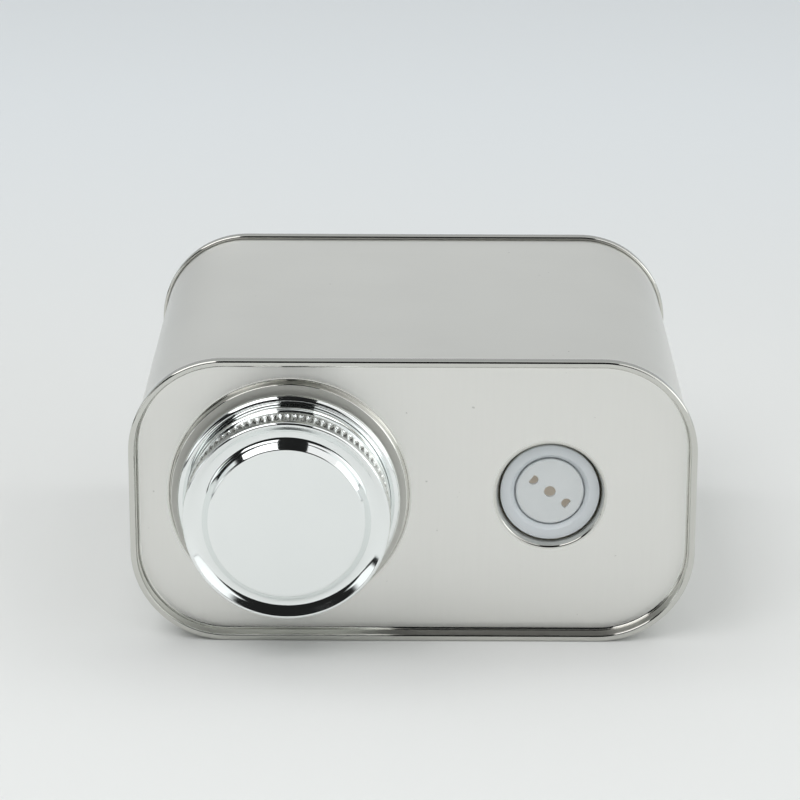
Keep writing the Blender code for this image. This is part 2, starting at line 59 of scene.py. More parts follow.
CAMERA_YAW = math.radians(-0.243)
CAMERA_ROLL = math.radians(0.154)
CAMERA_LENS = 147.42
CAMERA_SENSOR = 36.0


def add_object(name, data):
    """A new object in the scene."""
    made = bpy.data.objects.new(name, data)
    scene.collection.objects.link(made)
    return made


looking = Vector((math.sin(CAMERA_YAW) * math.cos(CAMERA_PITCH),
                  math.cos(CAMERA_YAW) * math.cos(CAMERA_PITCH),
                  -math.sin(CAMERA_PITCH)))
camera = add_object("photo_camera", bpy.data.cameras.new("photo_camera"))
camera.data.lens = CAMERA_LENS
camera.data.sensor_width = CAMERA_SENSOR
camera.data.dof.use_dof = False
camera.matrix_world = (Matrix.Translation(CAMERA_AIM - looking * CAMERA_DISTANCE)
                       @ Euler((math.pi / 2 - CAMERA_PITCH, 0.0, -CAMERA_YAW)).to_matrix().to_4x4()
                       @ Matrix.Rotation(CAMERA_ROLL, 4, 'Z'))
scene.camera = camera
scene.view_settings.view_transform = 'Standard'


# Table
# A white table that runs on behind the tin as a sweep: all that the camera sees behind the tin is
# this table. Further away its colour is painted darker and bluer, a painted shade where the light
# falls off, and a painted glow lifts it a little, though it is no lamp.
TABLE_SIZE = 12.0
TABLE_DROP = 0.05 * MM
TABLE_NEAR = (0.735, 0.745, 0.737, 1.0)
# Painted shade: the table's colour far behind the tin, darker and bluer.
TABLE_FAR_PAINTED_SHADE = (0.615, 0.638, 0.648, 1.0)
TABLE_TURN = (0.05, 0.50)
# Painted glow of the far table, which is no lamp.
TABLE_GLOW_NEAR = (0.0, 0.0, 0.0, 1.0)
TABLE_GLOW_FAR = (0.15, 0.16, 0.17, 1.0)


class Socket:
    """An output of a node tree, on which Python's own signs add Math nodes."""

    def __init__(self, tree, socket):
        self.tree = tree
        self.socket = socket

    def also(self, output):
        """Another output of the same node."""
        return Socket(self.tree, self.socket.node.outputs[output])

    def __add__(self, other):
        return self.tree.math('ADD', self, other)

    def __sub__(self, other):
        return self.tree.math('SUBTRACT', self, other)

    def __rsub__(self, other):
        return self.tree.math('SUBTRACT', other, self)

    def __mul__(self, other):
        return self.tree.math('MULTIPLY', self, other)

    def __truediv__(self, other):
        return self.tree.math('DIVIDE', self, other)

    def __abs__(self):
        return self.tree.math('ABSOLUTE', self)

    __radd__ = __add__


class NodeTree:
    """A node tree, in which node() adds one node: its settings first, then its sockets."""

    def __init__(self, tree):
        self.tree = tree

    def node(self, kind, settings=None, sockets=None, output=0):
        made = self.tree.nodes.new(kind)
        for name, value in (settings or {}).items():
            setattr(made, name, value)
        for name, value in (sockets or {}).items():
            self.feed(made, name, value)
        return Socket(self, made.outputs[output]) if made.outputs else made

    def feed(self, node, name, value):
        if isinstance(value, Socket):
            self.tree.links.new(value.socket, node.inputs[name])
        else:
            node.inputs[name].default_value = value

    def math(self, operation, *values):
        return self.node('ShaderNodeMath', {"operation": operation}, dict(enumerate(values)))

    def smooth(self, value, low, high):
        """0 below low, 1 above high, and a soft turn between them."""
        return self.node('ShaderNodeMapRange', {"interpolation_type": 'SMOOTHSTEP'},
                         {"Value": value, "From Min": low, "From Max": high})

    def mix(self, factor, first, second):
        """A colour between two colours."""
        return self.node('ShaderNodeMix', {"data_type": 'RGBA'},
                         {0: factor, 6: first, 7: second}, output=2)

    def parts(self, vector):
        """The x, y and z of a vector."""
        split = self.node('ShaderNodeSeparateXYZ', {}, {"Vector": vector})
        return split, split.also(1), split.also(2)


class Finish(NodeTree):
    """A material: its Principled shader with the plain values given, and the nodes that vary it."""

    def __init__(self, name, **plain):
        self.material = bpy.data.materials.new(name)
        self.material.use_nodes = True
        super().__init__(self.material.node_tree)
        self.shader = self.tree.nodes["Principled BSDF"]
        for socket, value in plain.items():
            self.shader.inputs[socket.replace("_", " ").title()].default_value = value
        self.place = self.node('ShaderNodeTexCoord', output="Object")

    def vary(self, **sockets):
        for socket, value in sockets.items():
            self.feed(self.shader, socket.replace("_", " ").title(), value)

    def grain(self, scale, detail=2.0, roughness=0.5, distortion=0.0):
        """Noise on the piece; the scale is in waves per metre, one number or one for each axis."""
        if isinstance(scale, float):
            scale = (scale, scale, scale)
        where = self.node('ShaderNodeMapping', {}, {"Vector": self.place, "Scale": scale})
        return self.node('ShaderNodeTexNoise', {},
                         {"Vector": where, "Scale": 1.0, "Detail": detail, "Roughness": roughness,
                          "Distortion": distortion})

    def relief(self, height, depth, strength=1.0, under=None):
        """A bump of that depth in metres, laid on another one if it is given."""
        sockets = {"Height": height, "Distance": depth, "Strength": strength}
        if under:
            sockets["Normal"] = under
        return self.node('ShaderNodeBump', {}, sockets)


table = Finish("table_white", roughness=0.75, metallic=0.0, emission_strength=1.0)
_, table_y, _ = table.parts(table.place)
# Painted shade and a painted glow: further back the colour turns darker and bluer and the table
# glows.
painted_falloff = table.smooth(table_y, *TABLE_TURN)
table.vary(base_color=table.mix(painted_falloff, TABLE_NEAR, TABLE_FAR_PAINTED_SHADE),
           emission_color=table.mix(painted_falloff, TABLE_GLOW_NEAR, TABLE_GLOW_FAR))
table_mesh = bpy.data.meshes.new("table_top")
half = TABLE_SIZE / 2
table_mesh.from_pydata([(-half, -half, -TABLE_DROP), (half, -half, -TABLE_DROP),
                        (half, half, -TABLE_DROP), (-half, half, -TABLE_DROP)], [], [(0, 1, 2, 3)])
table_mesh.materials.append(table.material)
table_top = add_object("table_top", table_mesh)


# Light
# The tin stands in a light tent: a softbox high on either side, white walls under them and a white
# sweep that rises behind and over it. The slot in front, where the camera looks in, stays dark.
# A fill light over the camera lights the table and the plastic and is kept out of the reflections.
SOFTBOXES = {
    "softbox_left": {"at": (-0.61, -0.45, 1.18), "aim": (0.0, -0.45, 0.03),
                     "size": (2.0, 0.80), "radiance": 1.75, "reflected": True},
    "softbox_right": {"at": (0.98, -0.45, 0.88), "aim": (0.0, -0.45, 0.03),
                      "size": (2.0, 1.57), "radiance": 0.95, "reflected": True},
    "fill_front": {"at": (-0.40, -1.00, 1.20), "aim": (0.0, 0.0, 0.03),
                   "size": (1.6, 1.20), "radiance": 1.40, "reflected": False},
}
TENT_TINT = (0.97, 1.0, 1.0, 1.0)
TENT_WALL = 1.10
TENT_SWEEP = 0.48
TENT_ROOF = 0.85
TENT_DARK = 0.015
ROOF_TURN = (0.45, 0.75)
SWEEP_TURN = (-0.30, 0.30)
SIDE_TURN = (-0.2, 0.2)
WALL_TOP_LEFT = 0.26
WALL_TOP_RIGHT = 0.40
WALL_FOOT = (0.04, 0.09)
SWEEP_TOP = 0.985
TOP_EDGE = 0.08
SLOT_LEFT = 0.80
SLOT_RIGHT = 0.90
SLOT_EDGE = 0.04
CAMERA_BACKDROP = 0.72

for name, softbox in SOFTBOXES.items():
    lamp = bpy.data.lights.new(name, 'AREA')
    lamp.shape = 'RECTANGLE'
    lamp.size, lamp.size_y = softbox["size"]
    lamp.energy = math.pi * softbox["radiance"] * lamp.size * lamp.size_y
    lamp_object = add_object(name, lamp)
    lamp_object.visible_glossy = softbox["reflected"]
    towards = Vector(softbox["aim"]) - Vector(softbox["at"])
    lamp_object.matrix_world = (Matrix.Translation(softbox["at"])
                                @ towards.to_track_quat('-Z', 'Y').to_matrix().to_4x4())

scene.world = bpy.data.worlds.new("studio")
scene.world.use_nodes = True
studio = NodeTree(scene.world.node_tree)
ray = studio.node('ShaderNodeTexCoord', output="Generated")
ray_x, ray_y, ray_z = studio.parts(ray)
right = studio.smooth(ray_x, *SIDE_TURN)
back = studio.smooth(ray_y, *SWEEP_TURN)
ahead = 0 - ray_y / studio.math('SQRT', ray_x * ray_x + ray_y * ray_y)
in_slot = studio.smooth((ahead - SLOT_LEFT - right * (SLOT_RIGHT - SLOT_LEFT)) / SLOT_EDGE,
                        0.0, 1.0)
wall_top = right * (WALL_TOP_RIGHT - WALL_TOP_LEFT) + WALL_TOP_LEFT
above = studio.smooth((ray_z - wall_top - back * (SWEEP_TOP - wall_top)) / TOP_EDGE, 0.0, 1.0)
foot = studio.math('MAXIMUM', studio.smooth(ray_z, *WALL_FOOT),
                   studio.math('MAXIMUM', back, right))
sweep_light = studio.smooth(ray_z, *ROOF_TURN) * (TENT_ROOF - TENT_SWEEP) + TENT_SWEEP
wall_light = back * (sweep_light - TENT_WALL) + TENT_WALL
level = (1 - in_slot) * (1 - above) * foot * wall_light + TENT_DARK
seen = studio.node('ShaderNodeLightPath', output="Is Camera Ray")
strength = studio.math('MAXIMUM', level, seen * CAMERA_BACKDROP)
backdrop = scene.world.node_tree.nodes["Background"]
studio.feed(backdrop, "Color", TENT_TINT)
studio.feed(backdrop, "Strength", strength)


# Body wall
# One sheet of tinplate, cut to size, rolled to a rounded rectangle and welded along the side that
# the tin lies on. Its two edges are hooked outwards and folded into the double seams.
TIN_LOW, TIN_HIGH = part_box("top_end")
TIN_WIDTH = TIN_HIGH.x - TIN_LOW.x
TIN_THICKNESS = TIN_HIGH.z - TIN_LOW.z
RIM_Y = TIN_LOW.y
TIN_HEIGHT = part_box("bottom_end")[1].y - RIM_Y
CORNER_RADIUS = 19.5 * MM
CORNER_STEPS = 26
PLATE = 0.23 * MM
LAYER_GAP = 0.05 * MM
LAYER_PITCH = PLATE + LAYER_GAP
SEAM_LAYERS = 5
SEAM_LENGTH = 2.5 * MM
SEAM_THICKNESS = SEAM_LAYERS * PLATE + (SEAM_LAYERS - 1) * LAYER_GAP
HOOK = 1.45 * MM
COMPOUND_SPACE = 0.25 * MM
BEND_STEPS = 6
MITRE_LIMIT = 0.3
MERGE = 1e-6
SHARP = math.radians(40)
WELD_X = -12.0 * MM
WELD_WIDTH = 0.9 * MM
WELD_STAIN = 3.5 * MM
WELD_LEVEL = (1.0 * MM, 2.0 * MM)
WELD_COLOUR = (0.26, 0.27, 0.31, 1.0)
WELD_TINT = 0.8
STAIN_COLOUR = (0.50, 0.43, 0.33, 1.0)
STAIN_TINT = 0.5
TINPLATE_DARK = (0.825, 0.820, 0.790, 1.0)
TINPLATE_LIGHT = (0.885, 0.880, 0.850, 1.0)
# Painted shade: the burnished places and the dull boss top are painted darker towards this colour.
WORKED_SHADE_COLOUR = (0.40, 0.40, 0.36, 1.0)
WORKED_SHADE_TINT = 0.50
WORKED_GLOSS = 0.80
SPECK_COLOUR = (0.36, 0.36, 0.34, 1.0)
SPECK_TINT = 0.40
SPECK_LEVEL = (0.79, 0.85)
BODY_STREAKS = (70.0, 1500.0, 70.0)
BODY_SATIN = 0.36
BROAD_SHARE = 0.12


def facing_out(x=0.0, y=0.0):
    """The place of a piece made about +Z, with its axis out of the cap's end at (x, y)."""
    return (Matrix.Translation((x, RIM_Y, y + TIN_THICKNESS / 2))
            @ Matrix.Rotation(math.pi / 2, 4, 'X'))


FACING_OUT = facing_out()
FACING_BACK = (Matrix.Translation((0.0, RIM_Y + TIN_HEIGHT, TIN_THICKNESS / 2))
               @ Matrix.Rotation(-math.pi / 2, 4, 'X'))


def bent_line(corners, steps=BEND_STEPS):
    """Centre line through (r, h, bend radius) corners, with so many steps to a quarter turn."""
    points = [Vector(corners[0][:2])]
    for before, corner, after in zip(corners, corners[1:], corners[2:]):
        here = Vector(corner[:2])
        into = (here - Vector(before[:2])).normalized()
        out = (Vector(after[:2]) - here).normalized()
        turn = into.angle_signed(out)
        if corner[2] == 0 or abs(turn) < MERGE:
            points.append(here)
            continue
        start = here - into * corner[2] * math.tan(abs(turn) / 2)
        side = Vector((-into.y, into.x)) * (-1 if turn > 0 else 1)
        centre = start + side * corner[2]
        count = max(2, round(abs(turn) / (math.pi / 2) * steps))
        for k in range(count + 1):
            points.append(centre + Matrix.Rotation(-turn * k / count, 2) @ (start - centre))
    points.append(Vector(corners[-1][:2]))
    return [p for k, p in enumerate(points) if k == 0 or (p - points[k - 1]).length > MERGE]


def both_sides(line, thickness):
    """The two faces of a sheet, half its thickness to the left and right of its centre line."""
    left, right = [], []
    for k, point in enumerate(line):
        into = (point - line[k - 1]).normalized() if k else None
        out = (line[k + 1] - point).normalized() if k + 1 < len(line) else None
        into, out = into or out, out or into
        mean = (into + out).normalized()
        normal = Vector((-mean.y, mean.x)) * thickness / 2 / max(MITRE_LIMIT, mean.dot(into))
        left.append(point + normal)
        right.append(point - normal)
    return left, right


def sheet_outline(corners, thickness, steps=BEND_STEPS):
    """The outline of a sheet that follows the centre line through the corners."""
    left, right = both_sides(bent_line(corners, steps), thickness)
    return left + right[::-1]


def seam_layers():
    """Centre lines of the five layers of sheet in a double seam, from its outside inwards."""
    return [PLATE / 2 + k * LAYER_PITCH for k in range(SEAM_LAYERS)]


def rule_tree(name, inputs):
    """A Geometry Nodes tree, and the node where a geometry and the named inputs come in."""
    group = bpy.data.node_groups.new(name, 'GeometryNodeTree')
    group.interface.new_socket("Geometry", in_out='INPUT', socket_type='NodeSocketGeometry')
    for label, kind in inputs.items():
        group.interface.new_socket(label, in_out='INPUT', socket_type='NodeSocket' + kind)
    group.interface.new_socket("Geometry", in_out='OUTPUT', socket_type='NodeSocketGeometry')
    tree = NodeTree(group)
    return tree, tree.node('NodeGroupInput', output="Geometry")


def end_tree(tree, geometry, finish):
    """The last nodes of every tree: real geometry, with its material, to the output."""
    real = tree.node('GeometryNodeRealizeInstances', {}, {"Geometry": geometry})
    covered = tree.node('GeometryNodeSetMaterial', {}, {"Geometry": real, "Material": finish})
    tree.node('NodeGroupOutput', {}, {"Geometry": covered})


def finished_mesh(holder):
    """The mesh of an object as its modifiers leave it; the object itself goes."""
    bpy.context.view_layer.update()
    made = holder.evaluated_get(bpy.context.evaluated_depsgraph_get())
    mesh = bpy.data.meshes.new_from_object(made)
    bpy.data.objects.remove(holder)
    return mesh


def shape_mesh(name, mesh, tree, values):
    """The plain mesh that a tree makes of a mesh; a named input takes its value, or stays 0."""
    carrier = add_object(name, mesh)
    modifier = carrier.modifiers.new(name, 'NODES')
    modifier.node_group = tree.tree
    for item in tree.tree.interface.items_tree:
        if item.in_out == 'INPUT' and item.name in values:
            modifier[item.identifier] = values[item.name]
    shaped = finished_mesh(carrier)
    shaped.name = name
    return shaped


seam_sweep, entry = rule_tree("sheet_round_the_tin", {
    "Width": 'Float', "Thickness": 'Float', "Corner Radius": 'Float', "Corner Steps": 'Int',
    "Finish": 'Material'})
outline = seam_sweep.node('GeometryNodeMeshToCurve', {}, {"Mesh": entry})
rounded = seam_sweep.node('GeometryNodeCurvePrimitiveQuadrilateral', {},
                          {"Width": entry.also("Width"), "Height": entry.also("Thickness")})
rounded = seam_sweep.node('GeometryNodeFilletCurve', {"mode": 'POLY'}, {
    "Curve": rounded, "Radius": entry.also("Corner Radius"), "Count": entry.also("Corner Steps")})
rounded = seam_sweep.node('GeometryNodeSetCurveNormal', {"mode": 'Z_UP'}, {"Curve": rounded})
swept = seam_sweep.node('GeometryNodeCurveToMesh', {}, {"Curve": rounded, "Profile Curve": outline})
end_tree(seam_sweep, swept, entry.also("Finish"))


def sweep_sheet(name, outline, closed, material):
    """Carry an outline of (distance in from the seam, height) points round the tin."""
    count = len(outline)
    edges = [(k, (k + 1) % count) for k in range(count if closed else count - 1)]
    mesh = bpy.data.meshes.new(name)
    mesh.from_pydata([(-inward, -height, 0.0) for inward, height in outline], edges, [])
    return shape_mesh(name, mesh, seam_sweep, {
        "Width": TIN_WIDTH, "Thickness": TIN_THICKNESS, "Corner Radius": CORNER_RADIUS,
        "Corner Steps": CORNER_STEPS, "Finish": material})


def inward_of(point):
    """How far a point of the tin's cross-section lies in from the outside of the seams."""
    across = abs(point.x) - (TIN_WIDTH / 2 - CORNER_RADIUS)
    along = abs(point.y) - (TIN_THICKNESS / 2 - CORNER_RADIUS)
    if across > 0 and along > 0:
        return CORNER_RADIUS - math.hypot(across, along)
    return CORNER_RADIUS - max(across, along)


def bmesh_of(mesh):
    """A mesh opened for further work."""
    bm = bmesh.new()
    bm.from_mesh(mesh)
    return bm


def add_piece(name, bm, place, body, slot, material, *nodes):
    """Close the mesh, put it in its place, and let it stand for its CAD nodes."""
    bmesh.ops.remove_doubles(bm, verts=bm.verts, dist=MERGE)
    bmesh.ops.recalc_face_normals(bm, faces=bm.faces)
    mesh = bpy.data.meshes.new(name)
    bm.to_mesh(mesh)
    bm.free()
    mesh.transform(place)
    mesh.shade_smooth()
    mesh.set_sharp_from_angle(angle=SHARP)
    mesh.materials.clear()
    mesh.materials.append(material)
    piece = add_object(name, mesh)
    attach(piece, body)
    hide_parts(*nodes)


def satin_tinplate(name, streak_scale, satin):
    """Tinplate as it comes off the mill: satin, with fine rolling streaks, clouds and specks."""
    tin = Finish(name, metallic=1.0)
    streaks = tin.grain(streak_scale, detail=4.0, roughness=0.65)
    broad = tin.grain(tuple(scale * BROAD_SHARE for scale in streak_scale))
    cloud = tin.grain(38.0, detail=3.0)
    mottle = tin.grain(420.0, detail=3.0, roughness=0.7)
    specks = tin.smooth(tin.grain(900.0, detail=1.0), *SPECK_LEVEL)
    shade = tin.mix(streaks * 0.55 + cloud * 0.45, TINPLATE_DARK, TINPLATE_LIGHT)
    worked_and_shaded = tin.node('ShaderNodeAttribute', {"attribute_name": "worked_and_shaded"}, output="Fac")
    # Painted shade: by the size of the mark, the seams, the edges of the stampings and the boss top
    # are painted darker.
    shade = tin.mix(abs(worked_and_shaded) * WORKED_SHADE_TINT, shade, WORKED_SHADE_COLOUR)
    tin.shade = tin.mix(specks * SPECK_TINT, shade, SPECK_COLOUR)
    rough = satin + streaks * 0.10 + cloud * 0.05 + specks * 0.12
    tin.vary(base_color=tin.shade,
             roughness=rough * (1 - worked_and_shaded * WORKED_GLOSS),
             normal=tin.relief(streaks * 0.6 + mottle * 0.4, depth=0.006 * MM,
                               under=tin.relief(broad, depth=0.05 * MM)))
    return tin


body_finish = satin_tinplate("tinplate_satin_body", BODY_STREAKS, BODY_SATIN)
body_x, _, body_z = body_finish.parts(body_finish.place)
underside = 1 - body_finish.smooth(body_z, *WELD_LEVEL)
off_weld = abs(body_x - WELD_X)
stain = (1 - body_finish.smooth(off_weld, WELD_WIDTH, WELD_STAIN)) * underside
weld = (1 - body_finish.smooth(off_weld, WELD_WIDTH / 2, WELD_WIDTH)) * underside
stained = body_finish.mix(stain * STAIN_TINT, body_finish.shade, STAIN_COLOUR)
body_finish.vary(base_color=body_finish.mix(weld * WELD_TINT, stained, WELD_COLOUR))
_, outer_hook, _, wall, _ = seam_layers()
hook_top = -PLATE - COMPOUND_SPACE - PLATE / 2
hook_end = max(-SEAM_LENGTH + PLATE / 2 + LAYER_GAP + LAYER_PITCH, hook_top - HOOK)
hook_low = -TIN_HEIGHT - hook_top
body_line = [
    (outer_hook, hook_end, 0),
    (outer_hook, hook_top, LAYER_PITCH),
    (wall, hook_top, LAYER_PITCH),
    (wall, hook_low, LAYER_PITCH),
    (outer_hook, hook_low, LAYER_PITCH),
    (outer_hook, -TIN_HEIGHT - hook_end, 0),
]
bm = bmesh_of(sweep_sheet("body_wall_sheet", sheet_outline(body_line, PLATE), True,
                          body_finish.material))
add_piece("body_wall_sheet", bm, FACING_OUT, "tin", "tinplate", body_finish.material, "body_wall")


# Top end
# A stamped end of the same tinplate: its rim is seamed over the body's hook, its flat panel sits
# below the rim, with a round boss under the neck and a round pocket that takes the valve.
RIM_BEND = 0.3 * MM
COUNTERSINK = 3.3 * MM
WALL_DRAFT = 0.1 * MM
PANEL_FILLET = 0.6 * MM
PANEL_MARGIN = 2.0 * MM
BOSS_RADIUS = 24.35 * MM
BOSS_RISE = 2.0 * MM
BOSS_SLOPE = 0.35 * MM
BOSS_BEND = 0.35 * MM
WORKED_MARGIN = 0.5 * MM
# Marks of the flat fields; their size also paints them darker, as painted shade on the boss top.
BOSS_FLAT = -0.9
POCKET_FLAT = 0.1
NECK_RADIUS = 19.35 * MM
NECK_HOLE_FIT = 0.1 * MM
NECK_HOLE = NECK_RADIUS - NECK_HOLE_FIT
POCKET_RADIUS = 11.1 * MM
POCKET_DEPTH = 3.0 * MM
POCKET_TAPER = 0.75 * MM
POCKET_BEND = 0.35 * MM
CUP_RADIUS = 7.7 * MM
VALVE_HOLE_FIT = 0.2 * MM
VALVE_HOLE = CUP_RADIUS + VALVE_HOLE_FIT
ROUND_FACETS = 128
END_STREAKS = (1500.0, 1500.0, 70.0)
END_SATIN = 0.28
PANEL_TOP = -COUNTERSINK
BOSS_TOP = PANEL_TOP + BOSS_RISE
cap_joint = next(joint for joint in frame["joints"] if joint["name"] == "cap_turn")
CAP_CENTRE = Vector((cap_joint["pos_m"][0], cap_joint["pos_m"][2] - TIN_THICKNESS / 2))
valve_low, valve_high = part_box("valve_body")
VALVE_CENTRE = Vector(((valve_low.x + valve_high.x) / 2,
                       (valve_low.z + valve_high.z) / 2 - TIN_THICKNESS / 2))


def end_line(field):
    """Centre line of an end: its field, the countersink wall, over the rim, under the body hook."""
    outer, _, hook, _, chuck = seam_layers()
    low = -SEAM_LENGTH + PLATE / 2
    return field + [
        (chuck + WALL_DRAFT, PANEL_TOP - PLATE / 2, PANEL_FILLET),
        (chuck, -PLATE / 2, RIM_BEND),
        (outer, -PLATE / 2, RIM_BEND),
        (outer, low, LAYER_PITCH),
        (hook, low, LAYER_PITCH),
        (hook, low + HOOK, 0),
    ]


def stamp_round(bm, centre, line):
    """A round stamping: both faces of the sheet, turned from the panel to the edge of its hole."""
    upper, lower = both_sides(line, PLATE)
    points = [(centre[0] + r, centre[1], height) for r, height in upper + lower[::-1]]
    verts = [bm.verts.new(point) for point in points]
    edges = [bm.edges.new(pair) for pair in zip(verts, verts[1:])]
    bmesh.ops.spin(bm, geom=verts + edges, cent=(*centre, 0.0), axis=(0, 0, 1),
                   angle=2 * math.pi, steps=ROUND_FACETS, use_merge=True)


def fill_level(bm, height):
    """Close one face of a flat field between the open edges that lie at its height."""
    bmesh.ops.remove_doubles(bm, verts=bm.verts, dist=MERGE)
    edges = [edge for edge in bm.edges
             if edge.is_boundary and all(abs(vert.co.z - height) < MERGE for vert in edge.verts)]
    bmesh.ops.triangle_fill(bm, use_beauty=True, use_dissolve=False, edges=edges)


def mark_worked_and_shaded(bm, *rings):
    """Mark with 1 what the dies have burnished: the seams, and the edge of each round stamping.

    A ring is (centre, radius, flat). Its flat field takes the value flat, below 0 where it is dull.
    The size of the mark also paints the tinplate darker there, as painted shade.
    """
    worked_and_shaded = bm.verts.layers.float.new("worked_and_shaded")
    for vert in bm.verts:
        amount = 1.0 if inward_of(vert.co) < SEAM_THICKNESS + WORKED_MARGIN else 0.0
        for centre, radius, flat in rings:
            off = (vert.co.xy - centre).length - radius
            if off < WORKED_MARGIN:
                amount = flat if off < -WORKED_MARGIN else 1.0
        vert[worked_and_shaded] = amount


end_finish = satin_tinplate("tinplate_satin_end", END_STREAKS, END_SATIN)
panel = PANEL_TOP - PLATE / 2
rim = sheet_outline(end_line([(SEAM_THICKNESS + PANEL_MARGIN, panel, 0)]), PLATE)
bm = bmesh_of(sweep_sheet("top_end_sheet", rim, False, end_finish.material))
stamp_round(bm, CAP_CENTRE, bent_line([
    (BOSS_RADIUS + 2 * BOSS_SLOPE, panel, 0),
    (BOSS_RADIUS, panel, BOSS_BEND),
    (BOSS_RADIUS - BOSS_SLOPE, panel + BOSS_RISE, BOSS_BEND),
    (NECK_HOLE, panel + BOSS_RISE, 0)]))
stamp_round(bm, VALVE_CENTRE, bent_line([
    (POCKET_RADIUS + 2 * POCKET_BEND, panel, 0),
    (POCKET_RADIUS, panel, POCKET_BEND),
    (POCKET_RADIUS - POCKET_TAPER, panel - POCKET_DEPTH, POCKET_BEND),
    (VALVE_HOLE, panel - POCKET_DEPTH, 0)]))
fill_level(bm, panel + PLATE / 2)
fill_level(bm, panel - PLATE / 2)
mark_worked_and_shaded(bm, (CAP_CENTRE, BOSS_RADIUS, BOSS_FLAT), (VALVE_CENTRE, POCKET_RADIUS, POCKET_FLAT))
add_piece("top_end_sheet", bm, FACING_OUT, "tin", "tinplate", end_finish.material, "top_end")


# Bottom end
# The other end is stamped from the same plate and seamed on in the same way. One stepped bead
# runs round its panel and keeps it flat.
BEAD_INSET = 6.0 * MM
BEAD_SLOPE = 0.8 * MM
BEAD_RISE = 0.8 * MM
BEAD_BEND = 0.6 * MM

bead = SEAM_THICKNESS + BEAD_INSET
field_line = [
    (bead + BEAD_SLOPE + PANEL_MARGIN, panel + BEAD_RISE, 0),
    (bead + BEAD_SLOPE, panel + BEAD_RISE, BEAD_BEND),
    (bead, panel, BEAD_BEND),
]
bm = bmesh_of(sweep_sheet("bottom_end_sheet", sheet_outline(end_line(field_line), PLATE), False,
                          end_finish.material))
fill_level(bm, panel + BEAD_RISE + PLATE / 2)
fill_level(bm, panel + BEAD_RISE - PLATE / 2)
mark_worked_and_shaded(bm)
add_piece("bottom_end_sheet", bm, FACING_BACK, "tin", "tinplate", end_finish.material, "bottom_end")


# Sealing compound
# A thin bead of sealing compound, flowed into the curl of each end before it is seamed. It lies
# between the rim and the body hook and shows only where a seam is cut open.
COMPOUND_WIDTH = 0.5 * MM
COMPOUND_BEND = 0.05 * MM
COMPOUND_DARK = (0.50, 0.45, 0.37, 1.0)
COMPOUND_LIGHT = (0.60, 0.55, 0.47, 1.0)

compound_finish = Finish("sealing_compound", metallic=0.0)
cloud = compound_finish.grain(900.0, detail=3.0)
compound_finish.vary(base_color=compound_finish.mix(cloud, COMPOUND_DARK, COMPOUND_LIGHT),
                     roughness=0.62 + cloud * 0.2,
                     normal=compound_finish.relief(cloud, depth=0.02 * MM))
hook_middle = (outer_hook + wall) / 2
compound_high = -PLATE - LAYER_GAP
compound_low = -PLATE - COMPOUND_SPACE + LAYER_GAP
compound_bead = bent_line([
    (hook_middle, compound_high, 0),
    (hook_middle + COMPOUND_WIDTH / 2, compound_high, COMPOUND_BEND),
    (hook_middle + COMPOUND_WIDTH / 2, compound_low, COMPOUND_BEND),
    (hook_middle - COMPOUND_WIDTH / 2, compound_low, COMPOUND_BEND),
    (hook_middle - COMPOUND_WIDTH / 2, compound_high, COMPOUND_BEND),
    (hook_middle, compound_high, 0)], steps=3)[:-1]
for node, place in (("top_seam_compound", FACING_OUT), ("bottom_seam_compound", FACING_BACK)):
    bm = bmesh_of(sweep_sheet(node + "_bead", compound_bead, True, compound_finish.material))
    add_piece(node + "_bead", bm, place, "tin", "compound", compound_finish.material, node)


# Screw neck
# The neck is drawn from bright tinplate: an inward curl at its mouth, one and a quarter turns of
# rolled thread, and a fold and a hem that clamp it to the boss of the top end.
NECK_SHEET = 0.25 * MM
NECK_RISE = 10.4 * MM
NECK_CURL = 0.45 * MM
NECK_CURL_TURN = 225
NECK_CURL_STEPS = 12
NECK_FOLD_REACH = 0.8 * MM
NECK_FOLD_GAP = 0.06 * MM
NECK_FOOT_BEND = 0.15 * MM
NECK_HEM_REACH = 1.1 * MM
NECK_CLEARANCE = 0.1 * MM
NECK_SEAL = 0.12 * MM
NECK_SEAT_GAP = 0.05 * MM
NECK_WALL_TOP = 9.4 * MM
NECK_ROW = 0.15 * MM
NECK_FACETS = 192
THREAD_PITCH = 3.175 * MM
THREAD_TURNS = 1.25
THREAD_RUN_IN = 0.06
THREADED_WALL = (0.965, 0.98)
NECK_THREAD_LOW = 1.9 * MM
NECK_THREAD_DEPTH = 0.42 * MM
NECK_THREAD_WIDTH = 0.32
NOTCH_FLOOR = 0.2
NOTCH_MOUTH = 0.8
BRIGHT_DARK = (0.85, 0.875, 0.87, 1.0)
BRIGHT_LIGHT = (0.90, 0.92, 0.915, 1.0)
CAP_AXIS = facing_out(*CAP_CENTRE)


def curl_corners(centre, radius, first, last, steps):
    """Corners along a curl: an arc about its centre between two angles in degrees."""
    corners = []
    for k in range(steps + 1):
        angle = math.radians(first + (last - first) * k / steps)
        corners.append((centre[0] + radius * math.cos(angle),
                        centre[1] + radius * math.sin(angle), 0))
    return corners


def rows_between(points, low, high, step):
    """The same outline with extra points on its long runs between two heights."""
    filled = []
    for here, after in zip(points, points[1:] + points[:1]):
        filled.append(here)
        length = (after - here).length
        if length > step and low < (here.y + after.y) / 2 < high:
            count = math.ceil(length / step)
            filled += [here.lerp(after, k / count) for k in range(1, count)]
    return filled


def turned_mesh(name, outline, facets):
    """A piece turned from a (radius, height) outline, which is closed unless it meets the axis."""
    bm = bmesh.new()
    verts = [bm.verts.new((r, 0.0, h)) for r, h in outline]
    pairs = list(zip(verts, verts[1:] + verts[:1]))
    meets_axis = outline[0][0] < MERGE
    edges = [bm.edges.new(pair) for pair in (pairs[:-1] if meets_axis else pairs)]
    bmesh.ops.spin(bm, geom=verts + edges, cent=(0, 0, 0), axis=(0, 0, 1), angle=2 * math.pi,
                   steps=facets, use_merge=True)
    bmesh.ops.remove_doubles(bm, verts=bm.verts, dist=MERGE)
    mesh = bpy.data.meshes.new(name)
    bm.to_mesh(mesh)
    bm.free()
    return mesh


